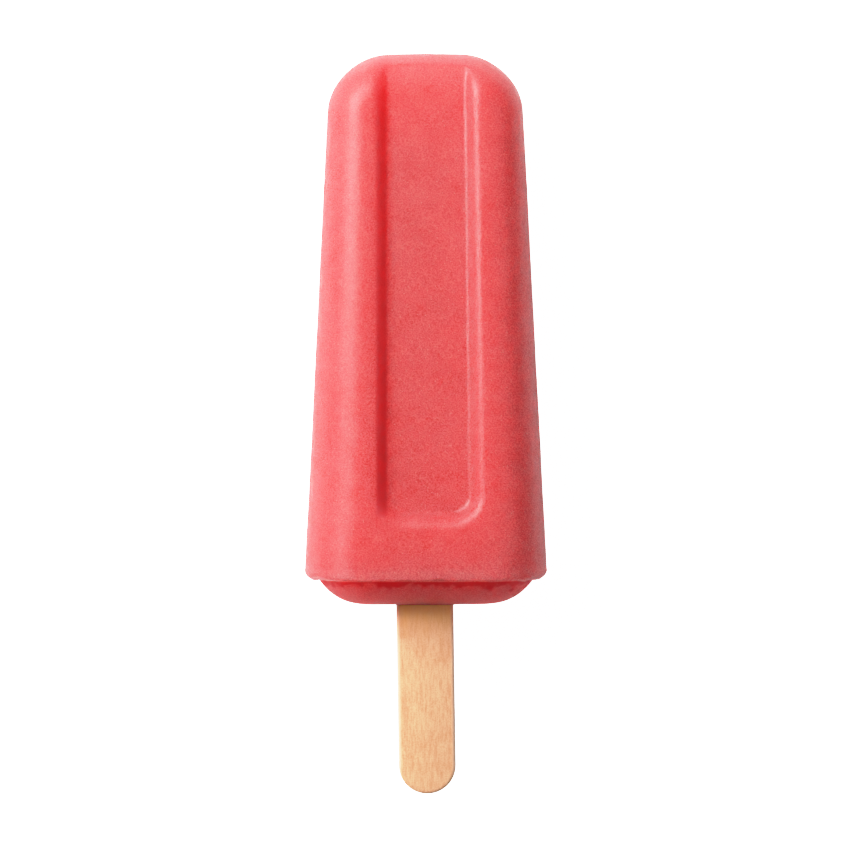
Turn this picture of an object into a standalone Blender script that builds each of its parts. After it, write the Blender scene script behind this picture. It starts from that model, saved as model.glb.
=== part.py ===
"""Frozen fruit pop on a flat wooden stick, lying on its back.

The bar was frozen round the stick in a tall narrow mould. Its sides and faces draw in towards
the rounded top, both faces carry a long sunken panel that runs out into the crown, and a rolled
shoulder ends the body above a low domed plug where the stick comes out.

The bar is drawn in its mould frame: x across, y along from the shoulder to the crown, z through
the thickness with 0 half way. An empty then lays it on its flat back, y still towards the crown.
"""
import math

import bmesh
import bpy
from mathutils import Matrix, Vector

MM = 0.001

# Body of the bar.
BODY_LENGTH = 91.75 * MM
HALF_WIDTH = 21.2 * MM
HALF_THICKNESS = 12.5 * MM
SIDE_DRAFT = math.radians(2.94)
FACE_DRAFT = math.radians(1.4)
CROWN_ARCH_RADIUS = 150.0 * MM
CROWN_CORNER_RADIUS = 10.1 * MM
EDGE_RADIUS_SHOULDER = 10.4 * MM
EDGE_RADIUS_TOP = 6.4 * MM
EDGE_RADIUS_CROWN = 9.2 * MM

# Sunken panel, the same on both faces.
PANEL_DEPTH = 2.75 * MM
PANEL_LEFT = 7.3 * MM
PANEL_RIGHT_TOP = 7.6 * MM
PANEL_RIGHT_SHOULDER = 8.45 * MM
PANEL_FOOT = 11.2 * MM
PANEL_CORNER_RADIUS = 3.3 * MM
PANEL_RIM_RADIUS = 2.4 * MM
PANEL_FLOOR_RADIUS = 1.1 * MM
PANEL_WALL_SLOPE = math.radians(63.0)
PANEL_ROLL_START = 7.5 * MM
PANEL_ROLL_RADIUS = 21.0 * MM

# Rolled shoulder and domed plug.
LIP_RADIUS_FACE = 0.5 * MM
LIP_RADIUS_SIDE = 1.8 * MM
LEDGE_INSET = 2.45 * MM
PLUG_DEPTH = 4.45 * MM
PLUG_PAD_HALF_THICKNESS = 2.3 * MM
PLUG_START_SLOPE = math.radians(55.0)

# Stick.
STICK_LENGTH = 113.0 * MM
STICK_WIDTH = 10.0 * MM
STICK_THICKNESS = 2.0 * MM
STICK_EDGE_RADIUS = 0.5 * MM
STICK_SHOWING = 33.3 * MM
STICK_OFFSET = -0.2 * MM
STICK_LEAN = math.radians(0.78)
STICK_GAP = 0.3 * MM

# How finely the curves are divided.
EDGE_STEPS = 12
RIM_LAND = 0.2 * MM
BODY_STEPS = 7
LIP_STEPS = 4
PLUG_STEPS = 6
STICK_END_STEPS = 14
QUARTER_TURN = math.pi / 2

SORBET_COLOUR = (0.74, 0.085, 0.09, 1.0)
WOOD_COLOUR = (0.80, 0.52, 0.29, 1.0)


def half_width(y):
    """Half the width of the body at height y, before its corners are rounded."""
    return HALF_WIDTH - y * math.tan(SIDE_DRAFT)


def half_thickness(y):
    """Half the thickness of the body at height y."""
    return HALF_THICKNESS - y * math.tan(FACE_DRAFT)


def side_edge_radius(y):
    """Radius of the long edges, smaller towards the crown."""
    share = y / BODY_LENGTH
    return EDGE_RADIUS_SHOULDER + (EDGE_RADIUS_TOP - EDGE_RADIUS_SHOULDER) * share


def arc_drop(radius, inside):
    """How far a quarter-round edge falls below its face, at a distance inside its rim."""
    reach = min(max(radius - inside, 0.0), radius)
    return radius - math.sqrt(radius * radius - reach * reach)


def edge_drop(from_side, from_crown, y):
    """Fall of the rounded edges below the flat of a face, from the distances to its rims."""
    across = CROWN_CORNER_RADIUS - from_side
    along = CROWN_CORNER_RADIUS - from_crown
    if across > 0 and along > 0:
        turn = math.atan2(along, across) / QUARTER_TURN
        side_radius = side_edge_radius(y)
        radius = side_radius + (EDGE_RADIUS_CROWN - side_radius) * turn
        return arc_drop(radius, CROWN_CORNER_RADIUS - math.hypot(across, along))
    if across > 0:
        return arc_drop(side_edge_radius(y), from_side)
    return arc_drop(EDGE_RADIUS_CROWN, from_crown)


def wall_widths():
    """Plan widths of the panel wall: rim round, straight ramp, floor round."""
    rim = PANEL_RIM_RADIUS * math.sin(PANEL_WALL_SLOPE)
    floor = PANEL_FLOOR_RADIUS * math.sin(PANEL_WALL_SLOPE)
    rounds = (PANEL_RIM_RADIUS + PANEL_FLOOR_RADIUS) * (1 - math.cos(PANEL_WALL_SLOPE))
    ramp = (PANEL_DEPTH - rounds) / math.tan(PANEL_WALL_SLOPE)
    return rim, ramp, floor


def wall_depth(inside):
    """Depth of the panel at a distance inside the middle of its wall."""
    rim, ramp, floor = wall_widths()
    across = inside + rim + ramp / 2
    if across <= 0:
        return 0.0
    if across < rim:
        return arc_drop(PANEL_RIM_RADIUS, PANEL_RIM_RADIUS - across)
    if across < rim + ramp:
        rim_fall = PANEL_RIM_RADIUS * (1 - math.cos(PANEL_WALL_SLOPE))
        return rim_fall + (across - rim) * math.tan(PANEL_WALL_SLOPE)
    left = max(rim + ramp + floor - across, 0.0)
    return PANEL_DEPTH - arc_drop(PANEL_FLOOR_RADIUS, PANEL_FLOOR_RADIUS - left)


def panel_right(y):
    """Place of the panel's right wall at height y, drafted like the side of the bar."""
    share = y / BODY_LENGTH
    return PANEL_RIGHT_SHOULDER + (PANEL_RIGHT_TOP - PANEL_RIGHT_SHOULDER) * share


def panel_inside(x, y):
    """Distance inside the panel's outline, whose two lower corners are rounded."""
    from_wall = min(x + PANEL_LEFT, panel_right(y) - x)
    from_foot = y - PANEL_FOOT
    across = PANEL_CORNER_RADIUS - from_wall
    along = PANEL_CORNER_RADIUS - from_foot
    if across > 0 and along > 0:
        return PANEL_CORNER_RADIUS - math.hypot(across, along)
    return min(from_wall, from_foot)


def panel_share(from_crown):
    """Share of the panel's depth left where the crown rounds off above its rolled floor."""
    rolled = max(PANEL_ROLL_START - from_crown, 0.0)
    floor_fall = PANEL_ROLL_RADIUS - math.sqrt(PANEL_ROLL_RADIUS ** 2 - rolled * rolled)
    depth = PANEL_DEPTH + floor_fall - arc_drop(EDGE_RADIUS_CROWN, from_crown)
    return max(depth, 0.0) / PANEL_DEPTH


def edge_angles():
    """Angles round an edge, from its rim on the side to just short of the flat face."""
    return [QUARTER_TURN * step / EDGE_STEPS for step in range(EDGE_STEPS)]


def wall_lines():
    """Distances inside the panel's wall where the mesh has a line, rim to floor."""
    rim, ramp, floor = wall_widths()
    start = -rim - ramp / 2
    rim_lines = [start + rim * share for share in (0.0, 0.3, 0.55, 0.8, 1.0)]
    floor_lines = [ramp / 2 + floor * share for share in (0.0, 0.5, 1.0)]
    return rim_lines + floor_lines


def column_places(y):
    """Positions of the mesh columns across the body at height y, left to right.

    Near the crown the panel's rims run into the rounded edges, and the columns round each edge
    draw up to stay clear of them.
    """
    radius = side_edge_radius(y)
    rounds = [radius * (1 - math.cos(angle)) for angle in edge_angles()]
    side = half_width(y)
    rim = wall_lines()[0]
    left_room = min((side - PANEL_LEFT + rim - RIM_LAND) / rounds[-1], 1.0)
    right_room = min((side - panel_right(y) + rim - RIM_LAND) / rounds[-1], 1.0)
    left = [inside * left_room - side for inside in rounds]
    left += [-PANEL_LEFT + inside for inside in wall_lines()]
    right = [panel_right(y) - inside for inside in reversed(wall_lines())]
    right += [side - inside * right_room for inside in reversed(rounds)]
    gap = right[0] - left[-1]
    middle = [left[-1] + gap * share for share in (0.25, 0.5, 0.75)]
    return left + middle + right


def edge_reach(column):
    """How far a mesh column is out over the shoulder's rounded edge: 0 on the flat, 1 outside."""
    beyond = abs(column_places(0.0)[column]) - (HALF_WIDTH - EDGE_RADIUS_SHOULDER)
    return min(max(beyond / EDGE_RADIUS_SHOULDER, 0.0), 1.0)


def lip_radius(column):
    """Radius of the lip where a mesh column meets it: tight on the faces, fuller at the sides."""
    return LIP_RADIUS_FACE + (LIP_RADIUS_SIDE - LIP_RADIUS_FACE) * edge_reach(column) ** 2


def row_places():
    """Heights of the mesh rows on the middle line; the first one stops short at the lip."""
    lines = wall_lines()
    rows = [0.0, LIP_RADIUS_SIDE + 0.5 * MM, LIP_RADIUS_SIDE + 2 * MM]
    rows += [PANEL_FOOT + inside for inside in lines]
    rows.append(PANEL_FOOT + PANEL_CORNER_RADIUS)
    first = rows[-1]
    last = BODY_LENGTH - CROWN_CORNER_RADIUS
    rows += [first + (last - first) * step / BODY_STEPS for step in range(1, BODY_STEPS + 1)]
    rows.append(BODY_LENGTH - EDGE_RADIUS_CROWN)
    rounds = [EDGE_RADIUS_CROWN * (1 - math.cos(angle)) for angle in edge_angles()]
    rows += [BODY_LENGTH - inside for inside in reversed(rounds)]
    return rows


def face_point(column, row):
    """Point of the front face where a mesh column meets a mesh row.

    The row's and the column's distances from the crown and from the side are first moved from a
    square-cornered plan on to the round-cornered one. The crown's arch fades out below it. The
    side's draft and the arch depend on each other, and settle in three passes.
    """
    place = column_places(row)[column]
    from_side = half_width(row) - abs(place)
    from_crown = BODY_LENGTH - row
    across = 1 - from_side / CROWN_CORNER_RADIUS
    along = 1 - from_crown / CROWN_CORNER_RADIUS
    if across > 0 and along > 0:
        from_side = CROWN_CORNER_RADIUS * (1 - across * math.sqrt(1 - along * along / 2))
        from_crown = CROWN_CORNER_RADIUS * (1 - along * math.sqrt(1 - across * across / 2))
    fade = max(1 - from_crown / CROWN_CORNER_RADIUS, 0.0)
    y = BODY_LENGTH - from_crown
    for _ in range(3):
        x = half_width(y) - from_side
        arch = CROWN_ARCH_RADIUS - math.sqrt(CROWN_ARCH_RADIUS ** 2 - x * x)
        y = BODY_LENGTH - from_crown - arch * fade
    x = math.copysign(x, place)
    panel = wall_depth(panel_inside(x, y)) * panel_share(from_crown)
    return x, y, half_thickness(y) - edge_drop(from_side, from_crown, y) - panel


def plug_rings(lip):
    """Inset and height of each ring below the body, for the radius its lip has there.

    The lip is a quarter round, the ledge under it is flat, and the dome is an arc that
    starts steep and turns level where the flat of the plug begins.
    """
    rings = []
    for step in range(1, LIP_STEPS + 1):
        angle = QUARTER_TURN * step / LIP_STEPS
        rings.append((lip * (1 - math.cos(angle)), lip * (1 - math.sin(angle))))
    rings.append((LEDGE_INSET, 0.0))
    dome_width = HALF_THICKNESS - PLUG_PAD_HALF_THICKNESS - LEDGE_INSET
    full_fall = 1 - math.cos(PLUG_START_SLOPE)
    for step in range(1, PLUG_STEPS + 1):
        slope = PLUG_START_SLOPE * (1 - step / PLUG_STEPS)
        across = 1 - math.sin(slope) / math.sin(PLUG_START_SLOPE)
        down = (math.cos(slope) - math.cos(PLUG_START_SLOPE)) / full_fall
        rings.append((LEDGE_INSET + dome_width * across, -PLUG_DEPTH * down))
    return rings


def section_point(column, inset):
    """Point (x, z) of a mesh column on the shoulder's section, drawn in by an inset."""
    place = column_places(0.0)[column]
    deepest = HALF_THICKNESS - PLUG_PAD_HALF_THICKNESS
    share = min(inset / deepest, 1.0)
    radius = EDGE_RADIUS_SHOULDER + (PLUG_PAD_HALF_THICKNESS - EDGE_RADIUS_SHOULDER) * share
    flat = HALF_WIDTH - inset - radius
    height = HALF_THICKNESS - inset
    out = edge_reach(column)
    if out > 0:
        return math.copysign(flat + radius * out, place), height - arc_drop(radius, radius - radius * out)
    return place * flat / (HALF_WIDTH - EDGE_RADIUS_SHOULDER), height


def fill_strip(mesh, first, second):
    """Quads between two rows of vertices of the same length."""
    for index in range(len(first) - 1):
        mesh.faces.new((first[index], first[index + 1], second[index + 1], second[index]))


def build_bar_mesh():
    """The bar as one closed skin: two faces, the sides between them, and the plug."""
    mesh = bmesh.new()
    columns = range(len(column_places(0.0)))
    rows = row_places()
    front = []
    back = []
    for row in rows:
        points = [face_point(column, max(row, lip_radius(column))) for column in columns]
        front.append([mesh.verts.new((x, y, z)) for x, y, z in points])
        back.append([mesh.verts.new((x, y, -z)) for x, y, z in points])
    for index in range(len(rows) - 1):
        fill_strip(mesh, front[index], front[index + 1])
        fill_strip(mesh, back[index + 1], back[index])
        fill_strip(mesh, [back[index][0], front[index][0]], [back[index + 1][0], front[index + 1][0]])
        fill_strip(mesh, [front[index][-1], back[index][-1]], [front[index + 1][-1], back[index + 1][-1]])
    fill_strip(mesh, front[-1], back[-1])
    ring = front[0] + list(reversed(back[0]))
    for level in zip(*(plug_rings(lip_radius(column)) for column in columns)):
        points = [(*section_point(column, level[column][0]), level[column][1]) for column in columns]
        lower = [mesh.verts.new((x, height, z)) for x, z, height in points]
        lower += [mesh.verts.new((x, height, -z)) for x, z, height in reversed(points)]
        fill_strip(mesh, lower + lower[:1], ring + ring[:1])
        ring = lower
    mesh.faces.new(ring)
    bmesh.ops.recalc_face_normals(mesh, faces=mesh.faces)
    return mesh


def build_stick_mesh(grow):
    """A flat stick with half-round ends, its tip at the origin, grown by a gap all round."""
    mesh = bmesh.new()
    radius = STICK_WIDTH / 2
    outline = []
    for centre_y, start in ((radius, math.pi), (STICK_LENGTH - radius, 0.0)):
        for step in range(STICK_END_STEPS + 1):
            angle = start + math.pi * step / STICK_END_STEPS
            reach = radius + grow
            outline.append((reach * math.cos(angle), centre_y + reach * math.sin(angle)))
    low = -STICK_THICKNESS / 2 - grow
    bottom = mesh.faces.new([mesh.verts.new((x, y, low)) for x, y in outline])
    raised = bmesh.ops.extrude_face_region(mesh, geom=[bottom])["geom"]
    corners = [item for item in raised if isinstance(item, bmesh.types.BMVert)]
    bmesh.ops.translate(mesh, verts=corners, vec=Vector((0, 0, STICK_THICKNESS + 2 * grow)))
    bmesh.ops.recalc_face_normals(mesh, faces=mesh.faces)
    return mesh


def add_object(name, mesh, material, parent):
    """Turn a bmesh into a named object under the empty that lays the pop down."""
    data = bpy.data.meshes.new(name)
    mesh.to_mesh(data)
    mesh.free()
    data.shade_smooth()
    data.set_sharp_from_angle(angle=math.radians(35))
    if material:
        data.materials.append(material)
    item = bpy.data.objects.new(name, data)
    bpy.context.collection.objects.link(item)
    item.parent = parent
    return item


def make_material(name, colour, roughness):
    """A plain surface colour."""
    material = bpy.data.materials.new(name)
    material.use_nodes = True
    shader = material.node_tree.nodes["Principled BSDF"]
    shader.inputs["Base Color"].default_value = colour
    shader.inputs["Roughness"].default_value = roughness
    shader.inputs["Metallic"].default_value = 0.0
    return material


def add_rest_frame():
    """The empty that tilts the mould frame until the drafted back lies flat on z = 0."""
    frame = bpy.data.objects.new("lying_on_its_back", None)
    bpy.context.collection.objects.link(frame)
    middle = (BODY_LENGTH - PLUG_DEPTH - STICK_SHOWING) / 2
    frame.rotation_euler = (-FACE_DRAFT, 0.0, 0.0)
    frame.location = (0.0, -middle * math.cos(FACE_DRAFT), HALF_THICKNESS * math.cos(FACE_DRAFT))
    return frame


def place_stick(item):
    """Stand a stick mesh in the plug, leaning a little about the place where it comes out."""
    plug_centre = Vector((STICK_OFFSET, -PLUG_DEPTH, 0.0))
    tip = Vector((0.0, -STICK_SHOWING, 0.0))
    turn = Matrix.Rotation(STICK_LEAN, 3, "Z")
    item.location = plug_centre + turn @ tip
    item.rotation_euler = (0.0, 0.0, STICK_LEAN)


def build_stick(frame):
    """The wooden stick, its long edges rounded over."""
    wood = make_material("stick_wood", WOOD_COLOUR, 0.6)
    stick = add_object("wood_stick", build_stick_mesh(0.0), wood, frame)
    place_stick(stick)
    bevel = stick.modifiers.new("rounded_edges", "BEVEL")
    bevel.width = STICK_EDGE_RADIUS
    bevel.segments = 3
    bevel.limit_method = "ANGLE"
    bevel.angle_limit = math.radians(60)


def build_bar(frame):
    """The frozen bar, with a pocket for the stick cut up from its plug."""
    sorbet = make_material("fruit_sorbet", SORBET_COLOUR, 0.45)
    bar = add_object("sorbet_bar", build_bar_mesh(), sorbet, frame)
    cutter = add_object("stick_pocket_cutter", build_stick_mesh(STICK_GAP), None, frame)
    place_stick(cutter)
    cutter.hide_render = True
    cutter.display_type = "WIRE"
    pocket = bar.modifiers.new("stick_pocket", "BOOLEAN")
    pocket.operation = "DIFFERENCE"
    pocket.solver = "EXACT"
    pocket.object = cutter


for leftover in list(bpy.data.objects):
    bpy.data.objects.remove(leftover, do_unlink=True)
rest_frame = add_rest_frame()
build_bar(rest_frame)
build_stick(rest_frame)
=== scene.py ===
import math

import bmesh
import bpy
from mathutils import Matrix, Vector, noise


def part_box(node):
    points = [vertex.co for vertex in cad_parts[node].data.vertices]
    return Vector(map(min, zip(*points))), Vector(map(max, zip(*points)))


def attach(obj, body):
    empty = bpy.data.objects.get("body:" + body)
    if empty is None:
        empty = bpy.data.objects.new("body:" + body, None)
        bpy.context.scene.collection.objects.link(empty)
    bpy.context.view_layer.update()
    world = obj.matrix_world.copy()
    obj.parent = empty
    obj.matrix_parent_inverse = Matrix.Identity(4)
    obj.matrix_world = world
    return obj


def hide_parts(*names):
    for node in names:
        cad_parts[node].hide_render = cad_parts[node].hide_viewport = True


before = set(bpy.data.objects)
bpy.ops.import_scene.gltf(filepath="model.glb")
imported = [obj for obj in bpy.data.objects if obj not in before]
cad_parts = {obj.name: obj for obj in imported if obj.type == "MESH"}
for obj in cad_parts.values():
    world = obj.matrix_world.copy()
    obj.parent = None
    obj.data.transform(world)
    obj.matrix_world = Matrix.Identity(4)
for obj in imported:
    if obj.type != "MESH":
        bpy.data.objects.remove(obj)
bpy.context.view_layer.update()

MM = 0.001


# ---------------------------------------------------------------------------------------------
# How the pop lies. It was frozen upright in a tall narrow mould, crown down, and lies now on its
# flat back. Its pieces are drawn in the mould's own directions: x across, y along towards the
# crown with 0 at the shoulder, z through the thickness with 0 half way. Both faces draw in a
# little towards the crown, so laying the back flat tips those directions by the face's draft.
# ---------------------------------------------------------------------------------------------
FACE_DRAFT = math.radians(1.4)
PLUG_DEPTH = 4.45 * MM
LIP_RADIUS_FACE = 0.5 * MM
PLUG_PAD_HALF_THICKNESS = 2.3 * MM

bar_low, bar_high = (Vector(corner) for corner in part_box("sorbet_bar"))
stick_low, stick_high = (Vector(corner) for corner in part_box("wood_stick"))
HALF_THICKNESS = (bar_high.z / 2 + LIP_RADIUS_FACE * math.sin(FACE_DRAFT)) / math.cos(FACE_DRAFT)
plug_foot = PLUG_DEPTH * math.cos(FACE_DRAFT) + PLUG_PAD_HALF_THICKNESS * math.sin(FACE_DRAFT)
mould_origin = Vector((
    (bar_low.x + bar_high.x) / 2,
    bar_low.y + plug_foot,
    HALF_THICKNESS * math.cos(FACE_DRAFT),
))
mould_to_world = Matrix.Translation(mould_origin) @ Matrix.Rotation(-FACE_DRAFT, 4, "X")


def add_piece(name, mesh, node):
    """Stand a finished bmesh on the table in place of its plain CAD node."""
    mesh.transform(mould_to_world)
    data = bpy.data.meshes.new(name)
    mesh.to_mesh(data)
    mesh.free()
    data.shade_smooth()
    piece = bpy.data.objects.new(name, data)
    bpy.context.collection.objects.link(piece)
    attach(piece, "root")
    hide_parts(node)
    return piece


# ---------------------------------------------------------------------------------------------
# Sorbet bar. Blended fruit frozen solid in one pour: a tapered body with rounded long edges, a
# sunken panel on both faces that runs out into the crown, and, above the line where the mould
# ended, a rolled shoulder and a low domed plug that swelled up round the stick.
# ---------------------------------------------------------------------------------------------
BODY_LENGTH = 91.75 * MM
HALF_WIDTH = 21.2 * MM
SIDE_DRAFT = math.radians(2.94)
CROWN_ARCH_RADIUS = 150.0 * MM
CROWN_CORNER_RADIUS = 10.1 * MM
EDGE_RADIUS_SHOULDER = 10.4 * MM
EDGE_RADIUS_TOP = 6.4 * MM
EDGE_RADIUS_CROWN = 9.2 * MM

PANEL_DEPTH = 2.75 * MM
PANEL_SHOALING = 0.25
PANEL_LEFT = 7.3 * MM
PANEL_RIGHT_TOP = 7.6 * MM
PANEL_RIGHT_SHOULDER = 8.45 * MM
PANEL_FOOT = 11.2 * MM
PANEL_CORNER_RADIUS = 3.3 * MM
PANEL_RIM_RADIUS = 2.4 * MM
PANEL_FLOOR_RADIUS = 1.1 * MM
PANEL_FOOT_RIM_RADIUS = 3.2 * MM
PANEL_FOOT_FLOOR_RADIUS = 0.35 * MM
PANEL_CORNER_FLOOR_RADIUS = 1.3 * MM
PANEL_WALL_SLOPE = math.radians(63.0)
PANEL_ROLL_START = 7.5 * MM
PANEL_ROLL_RADIUS = 21.0 * MM

LIP_RADIUS_SIDE = 1.8 * MM
LEDGE_INSET = 2.45 * MM
PLUG_START_SLOPE = math.radians(55.0)

EDGE_STEPS = 36
EDGE_LAST = math.radians(78.0)
LAND_STEPS = 7
RIM_LAND = 0.3 * MM
WALL_STEPS = 11
FLOOR_STEPS = 34
ROW_STEP = 0.45 * MM
FOOT_ROW_STEP = 0.14 * MM
SIDE_STEPS = 16
LIP_STEPS = 8
START_STEPS = 3
LEDGE_STEPS = 4
DOME_STEPS = 18
PAD_STEPS = 12
POCKET_STEPS = 6
QUARTER_TURN = math.pi / 2

RIB_CREST = 9.3 * MM
RIB_CROWN_WIDTH = 3.2 * MM
RIB_CROWN_SLOPE = math.tan(math.radians(5.0))

SWELL_SIZE = 8.0 * MM
SWELL_DEPTH = 0.045 * MM
PIT_SIZE = 2.1 * MM
PIT_DEPTH = 0.025 * MM
LIP_REACH = 3.0 * MM
LIP_WAVE_SIZE = 4.2 * MM
LIP_WAVE = 0.38 * MM
LIP_NICK_SIZE = 1.1 * MM
LIP_NICK = 0.13 * MM
LIP_BOW = 0.2 * MM
COLLAR_RISE = 0.2 * MM


def half_width(y):
    """Half the width of the body at height y, before its corners are rounded."""
    return HALF_WIDTH - y * math.tan(SIDE_DRAFT)


def half_thickness(y):
    """Half the thickness of the body at height y."""
    return HALF_THICKNESS - y * math.tan(FACE_DRAFT)


def side_edge_radius(y):
    """Radius of the long edges, smaller towards the crown."""
    share = y / BODY_LENGTH
    return EDGE_RADIUS_SHOULDER + (EDGE_RADIUS_TOP - EDGE_RADIUS_SHOULDER) * share


def arc_drop(radius, inside):
    """How far a quarter-round edge falls below its face, at a distance inside its rim."""
    reach = min(max(radius - inside, 0.0), radius)
    return radius - math.sqrt(radius * radius - reach * reach)


def edge_drop(from_side, from_crown, y):
    """Fall of the rounded edges below the flat of a face, from the distances to its rims."""
    across = CROWN_CORNER_RADIUS - from_side
    along = CROWN_CORNER_RADIUS - from_crown
    if across > 0 and along > 0:
        turn = math.atan2(along, across) / QUARTER_TURN
        side_radius = side_edge_radius(y)
        radius = side_radius + (EDGE_RADIUS_CROWN - side_radius) * turn
        return arc_drop(radius, CROWN_CORNER_RADIUS - math.hypot(across, along))
    if across > 0:
        return arc_drop(side_edge_radius(y), from_side)
    return arc_drop(EDGE_RADIUS_CROWN, from_crown)


def panel_depth(y):
    """Depth of the panel's floor at height y; it shoals a little towards the crown."""
    return PANEL_DEPTH * (1 - PANEL_SHOALING * y / BODY_LENGTH)


def wall_run(rim_radius, floor_radius, depth):
    """Plan widths of the rim's round, the straight ramp and the floor's round of a wall."""
    fall = (rim_radius + floor_radius) * (1 - math.cos(PANEL_WALL_SLOPE))
    ramp = (depth - fall) / math.tan(PANEL_WALL_SLOPE)
    return rim_radius * math.sin(PANEL_WALL_SLOPE), ramp, floor_radius * math.sin(PANEL_WALL_SLOPE)


rim_width, ramp_width, fillet_width = wall_run(PANEL_RIM_RADIUS, PANEL_FLOOR_RADIUS, PANEL_DEPTH)
wall_start = -rim_width - ramp_width / 2
wall_end = ramp_width / 2 + fillet_width


def wall_depth(inside, footward, depth):
    """Depth of the panel at a distance inside the middle of its wall.

    Along the foot the rim is rounder and the floor meets the wall more sharply, and in the two
    corners the floor runs up in a fuller round.
    """
    cornering = 4 * footward * (1 - footward)
    rim_radius = PANEL_RIM_RADIUS + (PANEL_FOOT_RIM_RADIUS - PANEL_RIM_RADIUS) * footward ** 3
    floor_radius = PANEL_FLOOR_RADIUS + (PANEL_FOOT_FLOOR_RADIUS - PANEL_FLOOR_RADIUS) * footward ** 3
    floor_radius += (PANEL_CORNER_FLOOR_RADIUS - floor_radius) * cornering
    rim, ramp, fillet = wall_run(rim_radius, floor_radius, depth)
    ramp = max(ramp, 0.0)
    across = inside - wall_start + (rim - rim_width) / 2 - max(ramp_width - ramp, 0.0)
    if across <= 0:
        return 0.0
    if across < rim:
        return arc_drop(rim_radius, rim_radius - across)
    if across < rim + ramp:
        return arc_drop(rim_radius, rim_radius - rim) + (across - rim) * math.tan(PANEL_WALL_SLOPE)
    left = max(rim + ramp + fillet - across, 0.0)
    return depth - arc_drop(floor_radius, floor_radius - left)


def panel_right(y):
    """Place of the panel's right wall at height y, drafted like the side of the bar."""
    share = y / BODY_LENGTH
    return PANEL_RIGHT_SHOULDER + (PANEL_RIGHT_TOP - PANEL_RIGHT_SHOULDER) * share


def panel_inside(x, y):
    """Distance inside the panel's outline, whose two lower corners are rounded.

    The second value is 1 against the foot of the panel, 0 against its sides, and between the
    two in the corners.
    """
    from_wall = min(x + PANEL_LEFT, panel_right(y) - x)
    from_foot = y - PANEL_FOOT
    across = PANEL_CORNER_RADIUS - from_wall
    along = PANEL_CORNER_RADIUS - from_foot
    if across > 0 and along > 0:
        return PANEL_CORNER_RADIUS - math.hypot(across, along), math.atan2(along, across) / QUARTER_TURN
    return min(from_wall, from_foot), float(from_foot < from_wall)


def panel_share(from_crown, depth):
    """Share of the panel's depth left where the crown rounds off above its rolled floor."""
    rolled = max(PANEL_ROLL_START - from_crown, 0.0)
    floor_fall = PANEL_ROLL_RADIUS - math.sqrt(PANEL_ROLL_RADIUS ** 2 - rolled * rolled)
    left = depth + floor_fall - arc_drop(EDGE_RADIUS_CROWN, from_crown)
    return max(left, 0.0) / depth


def rib_fall(x, y):
    """Fall of the left rib outwards from its crest, gathering from the foot of the panel up."""
    out = max(-x - RIB_CREST, 0.0)
    reach = min(out, RIB_CROWN_WIDTH)
    fall = RIB_CROWN_SLOPE * (reach * reach / RIB_CROWN_WIDTH / 2 + out - reach)
    return fall * min(max(y / PANEL_FOOT - 0.5, 0.0), 1.0)


def spread(first, last, steps):
    """Evenly spaced places from first up to but not on last."""
    return [first + (last - first) * step / steps for step in range(steps)]


def column_places(y):
    """Places of the mesh columns across the body at height y, left to right.

    Near the crown the panel's rims run into the rounded edges, and the columns round each edge
    draw up to stay clear of them.
    """
    full = 1 - math.cos(EDGE_LAST)
    rounds = [(1 - math.cos(angle)) / full for angle in spread(0.0, EDGE_LAST, EDGE_STEPS)]
    side = half_width(y)
    left_rim = -PANEL_LEFT + wall_start
    left_floor = -PANEL_LEFT + wall_end
    right_floor = panel_right(y) - wall_end
    right_rim = panel_right(y) - wall_start
    left_last = min(side_edge_radius(y) * full, side + left_rim - RIM_LAND)
    right_last = min(side_edge_radius(y) * full, side - right_rim - RIM_LAND)
    places = [inside * left_last - side for inside in rounds]
    places += spread(left_last - side, left_rim, LAND_STEPS)
    places += spread(left_rim, left_floor, WALL_STEPS)
    places += spread(left_floor, right_floor, FLOOR_STEPS)
    places += spread(right_floor, right_rim, WALL_STEPS)
    places += spread(right_rim, side - right_last, LAND_STEPS)
    places.append(side - right_last)
    return places + [side - inside * right_last for inside in reversed(rounds)]


def lip_turns():
    """For each mesh column, how far round the body's edge it is: 0 on the face, 1 on the side."""
    flat = HALF_WIDTH - EDGE_RADIUS_SHOULDER
    return [max(abs(place) - flat, 0.0) ** 2 / EDGE_RADIUS_SHOULDER ** 2 for place in column_places(0.0)]


def row_places():
    """Heights of the mesh rows above the lip, on the middle line, up to the crown."""
    first = LIP_RADIUS_SIDE + ROW_STEP
    foot = PANEL_FOOT + wall_start
    floor = PANEL_FOOT + wall_end
    last = BODY_LENGTH - EDGE_RADIUS_CROWN
    rows = spread(first, foot, round((foot - first) / ROW_STEP))
    rows += spread(foot, floor, round((floor - foot) / FOOT_ROW_STEP))
    rows += spread(floor, last, round((last - floor) / ROW_STEP))
    angles = spread(0.0, QUARTER_TURN, EDGE_STEPS) + [QUARTER_TURN]
    return rows + [BODY_LENGTH - EDGE_RADIUS_CROWN * (1 - math.cos(angle)) for angle in reversed(angles)]


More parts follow.
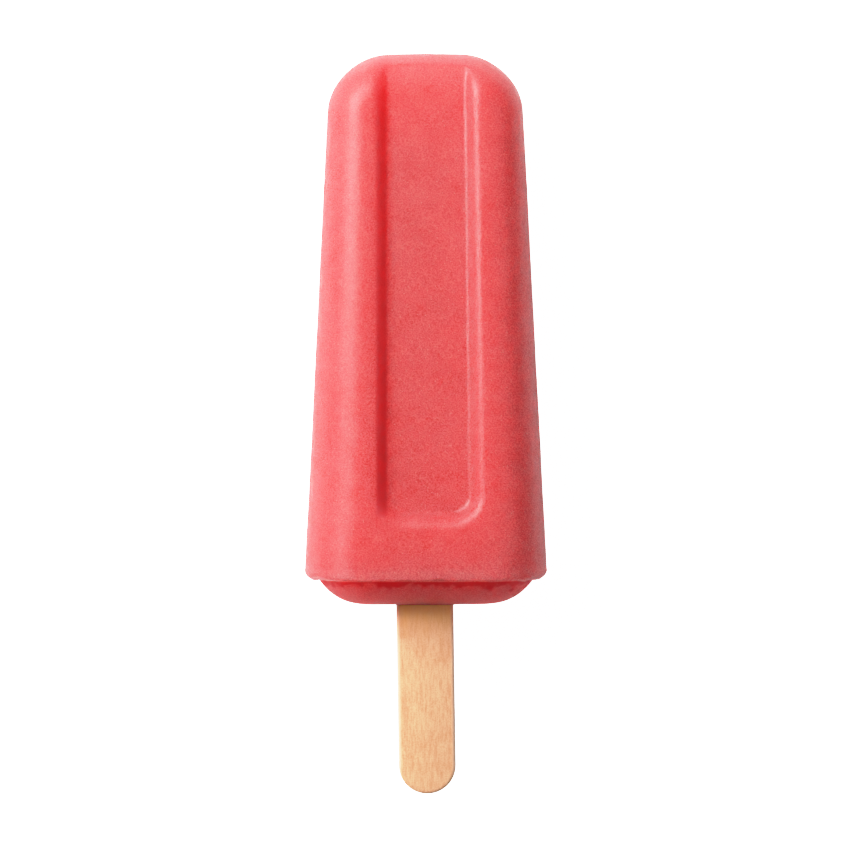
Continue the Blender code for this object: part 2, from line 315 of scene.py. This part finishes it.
def face_point(place, row):
    """Point of the front face at a place across and a row along.

    The distances from the crown and the side are first moved from a square-cornered plan on to
    the round-cornered one. The crown's arch fades out below it. The side's draft and the arch
    depend on each other, and settle in three passes.
    """
    from_side = half_width(row) - abs(place)
    from_crown = BODY_LENGTH - row
    across = 1 - from_side / CROWN_CORNER_RADIUS
    along = 1 - from_crown / CROWN_CORNER_RADIUS
    if across > 0 and along > 0:
        from_side = CROWN_CORNER_RADIUS * (1 - across * math.sqrt(1 - along * along / 2))
        from_crown = CROWN_CORNER_RADIUS * (1 - along * math.sqrt(1 - across * across / 2))
    fade = max(1 - from_crown / CROWN_CORNER_RADIUS, 0.0)
    y = BODY_LENGTH - from_crown
    for _ in range(3):
        x = half_width(y) - from_side
        arch = CROWN_ARCH_RADIUS - math.sqrt(CROWN_ARCH_RADIUS ** 2 - x * x)
        y = BODY_LENGTH - from_crown - arch * fade
    x = math.copysign(x, place)
    depth = panel_depth(y)
    panel = wall_depth(*panel_inside(x, y), depth) * panel_share(from_crown, depth)
    fall = edge_drop(from_side, from_crown, y) + rib_fall(x, y)
    return Vector((x, y, half_thickness(y) - fall - panel))


def plug_rings(lip):
    """Inset and height of each ring below the body: round lip, level ledge, dome."""
    rings = []
    for angle in spread(0.0, QUARTER_TURN, LIP_STEPS)[1:]:
        rings.append((lip * (1 - math.cos(angle)), lip * (1 - math.sin(angle))))
    for share in spread(0.0, 1.0, LEDGE_STEPS):
        rings.append((lip + (LEDGE_INSET - lip) * share, 0.0))
    dome_width = HALF_THICKNESS - PLUG_PAD_HALF_THICKNESS - LEDGE_INSET
    full_fall = 1 - math.cos(PLUG_START_SLOPE)
    for slope in spread(PLUG_START_SLOPE, 0.0, DOME_STEPS) + [0.0]:
        across = 1 - math.sin(slope) / math.sin(PLUG_START_SLOPE)
        down = (math.cos(slope) - math.cos(PLUG_START_SLOPE)) / full_fall
        rings.append((LEDGE_INSET + dome_width * across, -PLUG_DEPTH * down))
    return rings


def section_ring(half_across, half_through, radius, height, middle=0.0):
    """A closed ring of points round a round-cornered section, one for each mesh column."""
    flat = half_across - radius
    shoulder_flat = HALF_WIDTH - EDGE_RADIUS_SHOULDER
    front = []
    for place in column_places(0.0):
        beyond = abs(place) - shoulder_flat
        if beyond <= 0:
            front.append((middle + place * flat / shoulder_flat, half_through))
            continue
        angle = math.acos(min(beyond / EDGE_RADIUS_SHOULDER, 1.0))
        reach = flat + radius * math.cos(angle)
        front.append((middle + math.copysign(reach, place), half_through - radius * (1 - math.sin(angle))))
    edge = half_through - radius
    right = [(middle + half_across, z) for z in spread(edge, -edge, SIDE_STEPS)[1:]]
    left = [(middle - half_across, z) for z in spread(-edge, edge, SIDE_STEPS)[1:]]
    back = [(x, -z) for x, z in reversed(front)]
    return [Vector((x, height, z)) for x, z in front + right + back + left]


def bar_ring(inset, height):
    """The ring round the bar's own section at the shoulder, drawn in by an inset."""
    share = inset / (HALF_THICKNESS - PLUG_PAD_HALF_THICKNESS)
    radius = EDGE_RADIUS_SHOULDER + (PLUG_PAD_HALF_THICKNESS - EDGE_RADIUS_SHOULDER) * share
    return section_ring(HALF_WIDTH - inset, HALF_THICKNESS - inset, radius, height)


def fill_strip(mesh, first, second):
    """Quads between two rows of vertices of the same length."""
    for index in range(len(first) - 1):
        mesh.faces.new((first[index], first[index + 1], second[index + 1], second[index]))


def bridge(mesh, front_edge, back_edge):
    """Rows of new vertices down the side of the bar, between its front and its back rim."""
    rows = [front_edge]
    for share in spread(0.0, 1.0, SIDE_STEPS)[1:]:
        rows.append([mesh.verts.new(a.co.lerp(b.co, share)) for a, b in zip(front_edge, back_edge)])
    rows.append(back_edge)
    for upper, lower in zip(rows, rows[1:]):
        fill_strip(mesh, upper, lower)
    return rows


# The stick's section and lean are needed here too, because the sorbet froze tight against it.
STICK_WIDTH = 10.0 * MM
STICK_THICKNESS = 2.0 * MM
STICK_EDGE_RADIUS = 0.6 * MM
STICK_LENGTH = 113.0 * MM
STICK_SHOWING = 33.3 * MM
STICK_OFFSET = -0.2 * MM
STICK_LEAN = math.radians(0.78)
POCKET_GAP = 0.04 * MM
POCKET_DEPTH = STICK_LENGTH - STICK_SHOWING


def stick_middle(y):
    """Where the leaning stick's middle line is across the bar, at height y."""
    return STICK_OFFSET - (y + PLUG_DEPTH) * math.tan(STICK_LEAN)


def build_bar():
    """The bar as one closed skin: faces, sides, lip, plug, and the pocket round the stick."""
    mesh = bmesh.new()
    rows = row_places()
    front = []
    back = []
    turns = lip_turns()
    starts = []
    for share in spread(0.0, 1.0, START_STEPS):
        for turn in turns:
            lip = LIP_RADIUS_FACE + (LIP_RADIUS_SIDE - LIP_RADIUS_FACE) * turn
            starts.append(lip + (rows[0] - lip) * share)
    heights = [starts[index:index + len(turns)] for index in range(0, len(starts), len(turns))]
    heights += [[row] * len(turns) for row in rows]
    for heights_across in heights:
        points = [face_point(column_places(y)[index], y) for index, y in enumerate(heights_across)]
        front.append([mesh.verts.new(point) for point in points])
        back.append([mesh.verts.new((point.x, point.y, -point.z)) for point in points])
    for index in range(len(front) - 1):
        fill_strip(mesh, front[index], front[index + 1])
        fill_strip(mesh, back[index + 1], back[index])
    left = bridge(mesh, [row[0] for row in front], [row[0] for row in back])
    right = bridge(mesh, [row[-1] for row in front], [row[-1] for row in back])
    bridge_crown(mesh, front[-1], back[-1], left, right)
    ring = front[0] + [row[0] for row in right[1:-1]] + list(reversed(back[0]))
    ring += [row[0] for row in reversed(left[1:-1])]

    turns_round = turns + [1.0] * (SIDE_STEPS - 1) + turns[::-1] + [1.0] * (SIDE_STEPS - 1)
    levels = []
    for on_face, on_side in zip(plug_rings(LIP_RADIUS_FACE), plug_rings(LIP_RADIUS_SIDE)):
        pairs = zip(bar_ring(*on_face), bar_ring(*on_side), turns_round)
        levels.append([a.lerp(b, turn) for a, b, turn in pairs])
    outer = levels[-1]
    pocket = (STICK_WIDTH / 2 + POCKET_GAP, STICK_THICKNESS / 2 + POCKET_GAP, STICK_EDGE_RADIUS)
    mouth = section_ring(*pocket, -PLUG_DEPTH, stick_middle(-PLUG_DEPTH))
    for share in spread(0.0, 1.0, PAD_STEPS)[1:] + [1.0]:
        rise = Vector((0.0, -COLLAR_RISE * share ** 8, 0.0))
        levels.append([a.lerp(b, share) + rise for a, b in zip(outer, mouth)])
    skin_levels = len(levels)
    for share in spread(0.0, 1.0, POCKET_STEPS)[1:] + [1.0]:
        height = -PLUG_DEPTH + POCKET_DEPTH * share
        levels.append(section_ring(*pocket, height, stick_middle(height)))
    skin = list(mesh.verts)
    for level, points in enumerate(levels):
        lower = [mesh.verts.new(point) for point in points]
        fill_strip(mesh, lower + lower[:1], ring + ring[:1])
        ring = lower
        if level < skin_levels - 1:
            skin += lower
    mesh.faces.new(ring)
    bmesh.ops.recalc_face_normals(mesh, faces=mesh.faces)
    mesh.normal_update()
    roughen(skin)
    return mesh


def roughen(skin):
    """Press the frozen unevenness into the skin, and leave its lip a little ragged."""
    for vert in skin:
        place = vert.co.copy()
        rise = SWELL_DEPTH * noise.noise(place / SWELL_SIZE) + PIT_DEPTH * noise.noise(place / PIT_SIZE)
        if vert.normal.z < -0.9:
            rise = min(rise, 0.0)
        vert.co += vert.normal * rise
        wave = LIP_WAVE * noise.noise(place / LIP_WAVE_SIZE)
        nick = LIP_NICK * noise.noise(place / LIP_NICK_SIZE)
        bow = LIP_BOW * (1 - (place.x / HALF_WIDTH) ** 2)
        above = max(1 - abs(place.y) / LIP_REACH, 0.0)
        vert.co.y += (wave + nick + bow) * above * above


def bridge_crown(mesh, front_edge, back_edge, left, right):
    """The strip over the crown, sharing its end vertices with the two sides."""
    rows = [front_edge]
    for step in range(1, SIDE_STEPS):
        share = step / SIDE_STEPS
        inner = zip(front_edge[1:-1], back_edge[1:-1])
        middle = [mesh.verts.new(a.co.lerp(b.co, share)) for a, b in inner]
        rows.append([left[step][-1]] + middle + [right[step][-1]])
    rows.append(back_edge)
    for upper, lower in zip(rows, rows[1:]):
        fill_strip(mesh, upper, lower)


bar = add_piece("sorbet_bar_frozen", build_bar(), "sorbet_bar")


def new_material(name):
    """An empty node material, with its node tree and its Principled shader."""
    material = bpy.data.materials.new(name)
    material.use_nodes = True
    return material, material.node_tree, material.node_tree.nodes["Principled BSDF"]


def add_node(tree, kind, **sockets):
    """A new node with some of its sockets set; underscores in their names stand for spaces."""
    node = tree.nodes.new(kind)
    for name, value in sockets.items():
        node.inputs[name.replace("_", " ")].default_value = value
    return node


def add_math(tree, operation, first, second):
    """A Math node on two values, each a number or the output of another node."""
    node = tree.nodes.new("ShaderNodeMath")
    node.operation = operation
    for socket, value in zip(node.inputs, (first, second)):
        if isinstance(value, bpy.types.NodeSocket):
            tree.links.new(value, socket)
        else:
            socket.default_value = value
    return node.outputs["Value"]


def add_tint(tree, mask, under, over):
    """A colour mix from under to over as the mask goes from 0 to 1."""
    node = tree.nodes.new("ShaderNodeMix")
    node.data_type = "RGBA"
    node.clamp_factor = True
    tree.links.new(mask, node.inputs[0])
    for socket, colour in ((node.inputs[6], under), (node.inputs[7], over)):
        if isinstance(colour, bpy.types.NodeSocket):
            tree.links.new(colour, socket)
        else:
            socket.default_value = (*colour, 1.0)
    return node.outputs[2]


def add_mask(tree, value, low, high):
    """A mask that goes smoothly from 0 to 1 as a value goes from low to high."""
    node = tree.nodes.new("ShaderNodeMapRange")
    node.interpolation_type = "SMOOTHSTEP"
    node.inputs["From Min"].default_value = low
    node.inputs["From Max"].default_value = high
    tree.links.new(value, node.inputs["Value"])
    return node.outputs["Result"]


def make_speckle_group():
    """Shared by both materials: fine even grain, sparse flecks, and slow clouds."""
    group = bpy.data.node_groups.new("fine_speckle", "ShaderNodeTree")
    sockets = group.interface
    sockets.new_socket("Place", in_out="INPUT", socket_type="NodeSocketVector")
    sockets.new_socket("Fineness", in_out="INPUT", socket_type="NodeSocketFloat")
    sockets.new_socket("Fleck Fineness", in_out="INPUT", socket_type="NodeSocketFloat")
    sockets.new_socket("Cloud Fineness", in_out="INPUT", socket_type="NodeSocketFloat")
    sockets.new_socket("Grain", in_out="OUTPUT", socket_type="NodeSocketFloat")
    sockets.new_socket("Flecks", in_out="OUTPUT", socket_type="NodeSocketFloat")
    sockets.new_socket("Clouds", in_out="OUTPUT", socket_type="NodeSocketFloat")
    inside = group.nodes.new("NodeGroupInput")
    outside = group.nodes.new("NodeGroupOutput")
    grain = add_node(group, "ShaderNodeTexNoise", Detail=2.0, Roughness=0.6)
    clouds = add_node(group, "ShaderNodeTexNoise", Detail=3.0, Roughness=0.55)
    crystals = add_node(group, "ShaderNodeTexVoronoi", Randomness=1.0)
    for node in (grain, clouds, crystals):
        group.links.new(inside.outputs["Place"], node.inputs["Vector"])
    group.links.new(inside.outputs["Fineness"], grain.inputs["Scale"])
    group.links.new(inside.outputs["Cloud Fineness"], clouds.inputs["Scale"])
    group.links.new(inside.outputs["Fleck Fineness"], crystals.inputs["Scale"])
    pick = group.nodes.new("ShaderNodeSeparateColor")
    group.links.new(crystals.outputs["Color"], pick.inputs["Color"])
    chosen = add_math(group, "POWER", pick.outputs["Red"], 4.0)
    near = add_mask(group, crystals.outputs["Distance"], 0.42, 0.08)
    group.links.new(grain.outputs["Fac"], outside.inputs["Grain"])
    group.links.new(add_math(group, "MULTIPLY", chosen, near), outside.inputs["Flecks"])
    group.links.new(clouds.outputs["Fac"], outside.inputs["Clouds"])
    return group


def add_speckle(tree, place, fineness, fleck_fineness, cloud_fineness):
    """The shared speckle in one material, with its own finenesses in grains per metre."""
    node = tree.nodes.new("ShaderNodeGroup")
    node.node_tree = speckle_group
    node.inputs["Fineness"].default_value = fineness
    node.inputs["Fleck Fineness"].default_value = fleck_fineness
    node.inputs["Cloud Fineness"].default_value = cloud_fineness
    tree.links.new(place, node.inputs["Place"])
    return node.outputs["Grain"], node.outputs["Flecks"], node.outputs["Clouds"]


speckle_group = make_speckle_group()

DEEP_FRUIT = (0.71, 0.052, 0.057)
FROSTED_AND_LIT_FRUIT = (0.98, 0.190, 0.201)
JUICY_FRUIT = (1.0, 0.014, 0.022)
# Painted shadow for the crease under the lip.
LIP_SHADOW_FRUIT = (0.76, 0.002, 0.014)
# Painted shade for the left wall of the panel, which faces away from the lamps.
SHADED_WALL_FRUIT = (0.66, 0.062, 0.078)
ICE_WHITE = (1.0, 0.62, 0.60)
MOULDED_ROUGHNESS = 0.23
DULL_ROUGHNESS = 0.6

sorbet, tree, shader = new_material("fruit_sorbet_ice")
place = tree.nodes.new("ShaderNodeTexCoord").outputs["Object"]
grain, flecks, clouds = add_speckle(tree, place, 4200.0, 3000.0, 260.0)
fine_frost = add_math(tree, "MULTIPLY", add_mask(tree, grain, 0.3, 0.7), 0.7)
slow_frost = add_math(tree, "MULTIPLY", add_mask(tree, clouds, 0.2, 0.8), 0.2)
across = tree.nodes.new("ShaderNodeSeparateXYZ")
tree.links.new(place, across.inputs["Vector"])
crown = mould_origin.y + BODY_LENGTH
lip_top = mould_origin.y + LIP_REACH
# The colour is painted paler towards the crown as light from the lamps above it, added on top of the frost.
painted_crown_light = add_math(tree, "MULTIPLY", add_mask(tree, across.outputs["Y"], mould_origin.y, crown), 0.09)
# The lip and the plug below it are painted paler as light caught from the table, added on top of the frost.
painted_lip_light = add_math(tree, "MULTIPLY", add_mask(tree, across.outputs["Y"], lip_top, lip_top - 1.4 * MM), 0.19)
frost_and_painted_light = add_math(tree, "ADD", fine_frost, add_math(tree, "ADD", slow_frost, painted_crown_light))
frost_and_painted_light = add_math(tree, "ADD", frost_and_painted_light, painted_lip_light)
fruit = add_tint(tree, add_math(tree, "SUBTRACT", frost_and_painted_light, 0.08), DEEP_FRUIT, FROSTED_AND_LIT_FRUIT)
fruit = add_tint(tree, add_math(tree, "MULTIPLY", flecks, 0.3), fruit, ICE_WHITE)

# The left wall of the panel, which faces away from the lamps, is painted darker as shade, more so towards the foot.
from_wall = add_math(tree, "ADD", across.outputs["X"], PANEL_LEFT + 0.25 * MM)
from_wall = add_math(tree, "ABSOLUTE", from_wall, 0.0)
on_wall = add_mask(tree, from_wall, 1.3 * MM, 0.5 * MM)
foot = mould_origin.y + PANEL_FOOT
above_foot = add_mask(tree, across.outputs["Y"], foot - 0.5 * MM, foot + 1.0 * MM)
below_crown = add_mask(tree, across.outputs["Y"], crown - 2.5 * MM, crown - 9.0 * MM)
on_panel = add_math(tree, "MULTIPLY", above_foot, below_crown)
wall_shade_towards_foot = add_math(tree, "MULTIPLY", add_mask(tree, across.outputs["Y"], crown, foot), 0.3)
painted_wall_shade = add_math(tree, "MULTIPLY", add_math(tree, "MULTIPLY", on_wall, on_panel), add_math(tree, "ADD", wall_shade_towards_foot, 0.62))
fruit = add_tint(tree, painted_wall_shade, fruit, SHADED_WALL_FRUIT)

# Above the mould's mouth the skin is juicier and darker, and dull instead of moulded smooth.
open_skin = add_mask(tree, across.outputs["Y"], mould_origin.y + 0.3 * MM, mould_origin.y)
fruit = add_tint(tree, add_math(tree, "MULTIPLY", open_skin, 0.35), fruit, JUICY_FRUIT)
# Just under the lip the crease is painted dark as shadow, with a ragged lower edge.
uneven = add_math(tree, "ADD", across.outputs["Y"], add_math(tree, "MULTIPLY", clouds, 9.0 * MM))
painted_lip_shadow = add_mask(tree, uneven, mould_origin.y + 2.8 * MM, mould_origin.y + 4.1 * MM)
fruit = add_tint(tree, add_math(tree, "MULTIPLY", open_skin, painted_lip_shadow), fruit, LIP_SHADOW_FRUIT)
tree.links.new(fruit, shader.inputs["Base Color"])
dullness = add_math(tree, "MULTIPLY", open_skin, DULL_ROUGHNESS - MOULDED_ROUGHNESS)
tree.links.new(add_math(tree, "ADD", dullness, MOULDED_ROUGHNESS), shader.inputs["Roughness"])
height = add_math(tree, "ADD", grain, flecks)
bump = add_node(tree, "ShaderNodeBump", Strength=1.0, Distance=0.07 * MM)
tree.links.new(height, bump.inputs["Height"])
tree.links.new(bump.outputs["Normal"], shader.inputs["Normal"])
shader.inputs["IOR"].default_value = 1.44
shader.inputs["Subsurface Weight"].default_value = 1.0
shader.inputs["Subsurface Radius"].default_value = (7.0, 0.12, 0.10)
shader.inputs["Subsurface Scale"].default_value = 3.0 * MM
bar.data.materials.append(sorbet)


# ---------------------------------------------------------------------------------------------
# Stick. A flat slip of birch, stamped out with half-round ends and tumbled smooth, pushed into
# the mould before the fruit froze round most of its length.
# ---------------------------------------------------------------------------------------------
STICK_END_STEPS = 48


def build_stick():
    """The stick drawn along its own length, then leaned about the place where it comes out."""
    mesh = bmesh.new()
    radius = STICK_WIDTH / 2
    outline = []
    for centre_y, start in ((radius, math.pi), (STICK_LENGTH - radius, 0.0)):
        for step in range(STICK_END_STEPS + 1):
            angle = start + math.pi * step / STICK_END_STEPS
            outline.append((radius * math.cos(angle), centre_y + radius * math.sin(angle)))
    low = -STICK_THICKNESS / 2
    bottom = mesh.faces.new([mesh.verts.new((x, y, low)) for x, y in outline])
    raised = bmesh.ops.extrude_face_region(mesh, geom=[bottom])["geom"]
    corners = [item for item in raised if isinstance(item, bmesh.types.BMVert)]
    bmesh.ops.translate(mesh, verts=corners, vec=(0, 0, STICK_THICKNESS))
    bmesh.ops.recalc_face_normals(mesh, faces=mesh.faces)
    rims = [edge for edge in mesh.edges if abs(edge.verts[0].co.z - edge.verts[1].co.z) < 0.1 * MM]
    bmesh.ops.bevel(mesh, geom=rims, offset=STICK_EDGE_RADIUS, segments=4, profile=0.5, affect="EDGES")
    lean = Matrix.Rotation(STICK_LEAN, 4, "Z")
    out = Matrix.Translation((STICK_OFFSET, -PLUG_DEPTH, 0.0))
    mesh.transform(out @ lean @ Matrix.Translation((0.0, -STICK_SHOWING, 0.0)))
    return mesh


stick = add_piece("wood_stick_planed", build_stick(), "wood_stick")
PALE_BIRCH = (1.0, 0.59, 0.335)
DARK_BIRCH = (0.76, 0.30, 0.125)
# Painted highlight for the rounded long edges of the stick.
EDGE_SHEEN_BIRCH = (1.0, 0.68, 0.47)
WET_BIRCH = (1.0, 0.47, 0.13)
FRUIT_STAIN = (0.95, 0.42, 0.34)
STAIN_REACH = 7.5 * MM
EDGE_BAND_WIDTH = 0.8 * MM
FIBRE_SHORTENING = 0.13

wood, tree, shader = new_material("birch_stick")
place = tree.nodes.new("ShaderNodeTexCoord").outputs["Object"]
across = tree.nodes.new("ShaderNodeSeparateXYZ")
tree.links.new(place, across.inputs["Vector"])
leaned = add_math(tree, "MULTIPLY", across.outputs["Y"], math.tan(STICK_LEAN))
sideways = add_math(tree, "ADD", across.outputs["X"], leaned)
along = tree.nodes.new("ShaderNodeCombineXYZ")
tree.links.new(sideways, along.inputs["X"])
tree.links.new(add_math(tree, "MULTIPLY", across.outputs["Y"], FIBRE_SHORTENING), along.inputs["Y"])
tree.links.new(across.outputs["Z"], along.inputs["Z"])
fibres, pores, streaks = add_speckle(tree, along.outputs["Vector"], 3600.0, 2800.0, 420.0)
pith, dust, patches = add_speckle(tree, place, 4600.0, 2600.0, 260.0)
fine_figure = add_math(tree, "MULTIPLY", add_mask(tree, pith, 0.25, 0.65), 0.45)
long_figure = add_math(tree, "MULTIPLY", add_mask(tree, fibres, 0.3, 0.65), 0.4)
slow_figure = add_math(tree, "MULTIPLY", add_mask(tree, patches, 0.3, 0.7), 0.25)
figure = add_math(tree, "ADD", add_math(tree, "ADD", fine_figure, long_figure), slow_figure)
timber = add_tint(tree, figure, DARK_BIRCH, PALE_BIRCH)
timber = add_tint(tree, add_math(tree, "MULTIPLY", pores, 0.8), timber, DARK_BIRCH)
middle_line = STICK_OFFSET + (mould_origin.y - PLUG_DEPTH) * math.tan(STICK_LEAN)
from_middle = add_math(tree, "ABSOLUTE", add_math(tree, "SUBTRACT", sideways, middle_line), 0.0)
# A paler band along both long edges is a painted highlight where the rounded edges catch the light; the same band
# carries the fruit stain.
edge_band = add_mask(tree, from_middle, STICK_WIDTH / 2 - EDGE_BAND_WIDTH, STICK_WIDTH / 2)
timber = add_tint(tree, edge_band, timber, EDGE_SHEEN_BIRCH)
ragged = add_math(tree, "MULTIPLY", streaks, 6.0 * MM)
soaked = add_math(tree, "ADD", across.outputs["Y"], ragged)
wetness = add_mask(tree, soaked, bar_low.y + 3.0 * MM - STAIN_REACH, bar_low.y + 5.5 * MM)
timber = add_tint(tree, wetness, timber, WET_BIRCH)
timber = add_tint(tree, add_math(tree, "MULTIPLY", wetness, edge_band), timber, FRUIT_STAIN)
tree.links.new(timber, shader.inputs["Base Color"])
bump = add_node(tree, "ShaderNodeBump", Strength=0.6, Distance=0.03 * MM)
tree.links.new(fibres, bump.inputs["Height"])
tree.links.new(bump.outputs["Normal"], shader.inputs["Normal"])
shader.inputs["Roughness"].default_value = 0.6
stick.data.materials.append(wood)


# ---------------------------------------------------------------------------------------------
# Studio. A wide white table that glows faintly, lit through soft boxes, chiefly a large one from
# the upper left, with the camera square above the bar.
# ---------------------------------------------------------------------------------------------
FLOOR_SIZE = 3.0
SCALE_WIDTH = 149.1 * MM
CAMERA_DISTANCE = 0.47
LAMP_DISTANCE = 0.9
# Each lamp: name, turn from the bar's right, height above the table (degrees), width, height, power.
LAMPS = (
    ("key_softbox", 140.0, 38.0, 0.90, 0.50, 8.6),
    ("key_softbox_centre", 148.0, 38.0, 0.28, 0.28, 4.1),
    ("crown_softbox", 95.0, 46.0, 0.18, 0.18, 1.15),
    ("fill_softbox", 0.0, 50.0, 0.50, 0.50, 0.70),
    ("foot_softbox", 265.0, 50.0, 0.50, 0.50, 1.1),
)
TABLE_GLOW = 0.2

bpy.ops.mesh.primitive_plane_add(size=FLOOR_SIZE, location=(0.0, 0.0, 0.0))
floor = bpy.context.object
floor.name = "white_table"
paint, tree, shader = new_material("white_table_paint")
shader.inputs["Base Color"].default_value = (0.9, 0.9, 0.9, 1.0)
shader.inputs["Roughness"].default_value = 0.9
shader.inputs["Emission Color"].default_value = (1.0, 1.0, 1.0, 1.0)
path = tree.nodes.new("ShaderNodeLightPath")
glow = add_math(tree, "ADD", add_math(tree, "MULTIPLY", path.outputs["Is Camera Ray"], 1.6), TABLE_GLOW)
tree.links.new(glow, shader.inputs["Emission Strength"])
floor.data.materials.append(paint)

world = bpy.data.worlds.new("white_room")
world.use_nodes = True
world.node_tree.nodes["Background"].inputs["Color"].default_value = (1.0, 1.0, 1.0, 1.0)
backdrop = world.node_tree
seen = backdrop.nodes.new("ShaderNodeLightPath").outputs["Is Camera Ray"]
backdrop.links.new(add_math(backdrop, "MULTIPLY", seen, 2.0), backdrop.nodes["Background"].inputs["Strength"])
bpy.context.scene.world = world

view_centre = mould_to_world @ Vector((-0.1 * MM, 26.85 * MM, 0.0))


def aim(item, target):
    """Turn a lamp or the camera so that it looks at a point."""
    item.rotation_euler = (target - item.location).to_track_quat("-Z", "Y").to_euler()


for name, turn, rise, width, height, power in LAMPS:
    lamp = bpy.data.lights.new(name, "AREA")
    lamp.shape = "RECTANGLE"
    lamp.size = width
    lamp.size_y = height
    lamp.energy = power
    softbox = bpy.data.objects.new(name, lamp)
    bpy.context.collection.objects.link(softbox)
    out = Matrix.Rotation(math.radians(turn), 3, "Z") @ Matrix.Rotation(-math.radians(rise), 3, "Y")
    softbox.location = view_centre + out @ Vector((LAMP_DISTANCE, 0.0, 0.0))
    aim(softbox, view_centre)

lens = bpy.data.cameras.new("camera")
lens.sensor_width = 36.0
lens.lens = lens.sensor_width * CAMERA_DISTANCE / SCALE_WIDTH
camera = bpy.data.objects.new("camera", lens)
bpy.context.collection.objects.link(camera)
square_on = mould_to_world.to_3x3() @ Vector((0.0, 0.0, 1.0))
camera.location = view_centre + square_on * CAMERA_DISTANCE
camera.rotation_euler = (-FACE_DRAFT, 0.0, -0.0016)
bpy.context.scene.camera = camera

# The picture's tones roll off softly above a bright white, as on film.
view = bpy.context.scene.view_settings
view.view_transform = "Standard"
view.use_curve_mapping = True
picture = view.curve_mapping
picture.use_clip = False
picture.clip_max_x = 4.0
shoulder = picture.curves[3]
shoulder.points[1].location = (4.0, 1.0)
for light, tone in ((0.4, 0.4), (0.8, 0.79), (1.2, 0.94), (1.7, 0.99), (2.0, 1.0)):
    shoulder.points.new(light, tone)
picture.update()
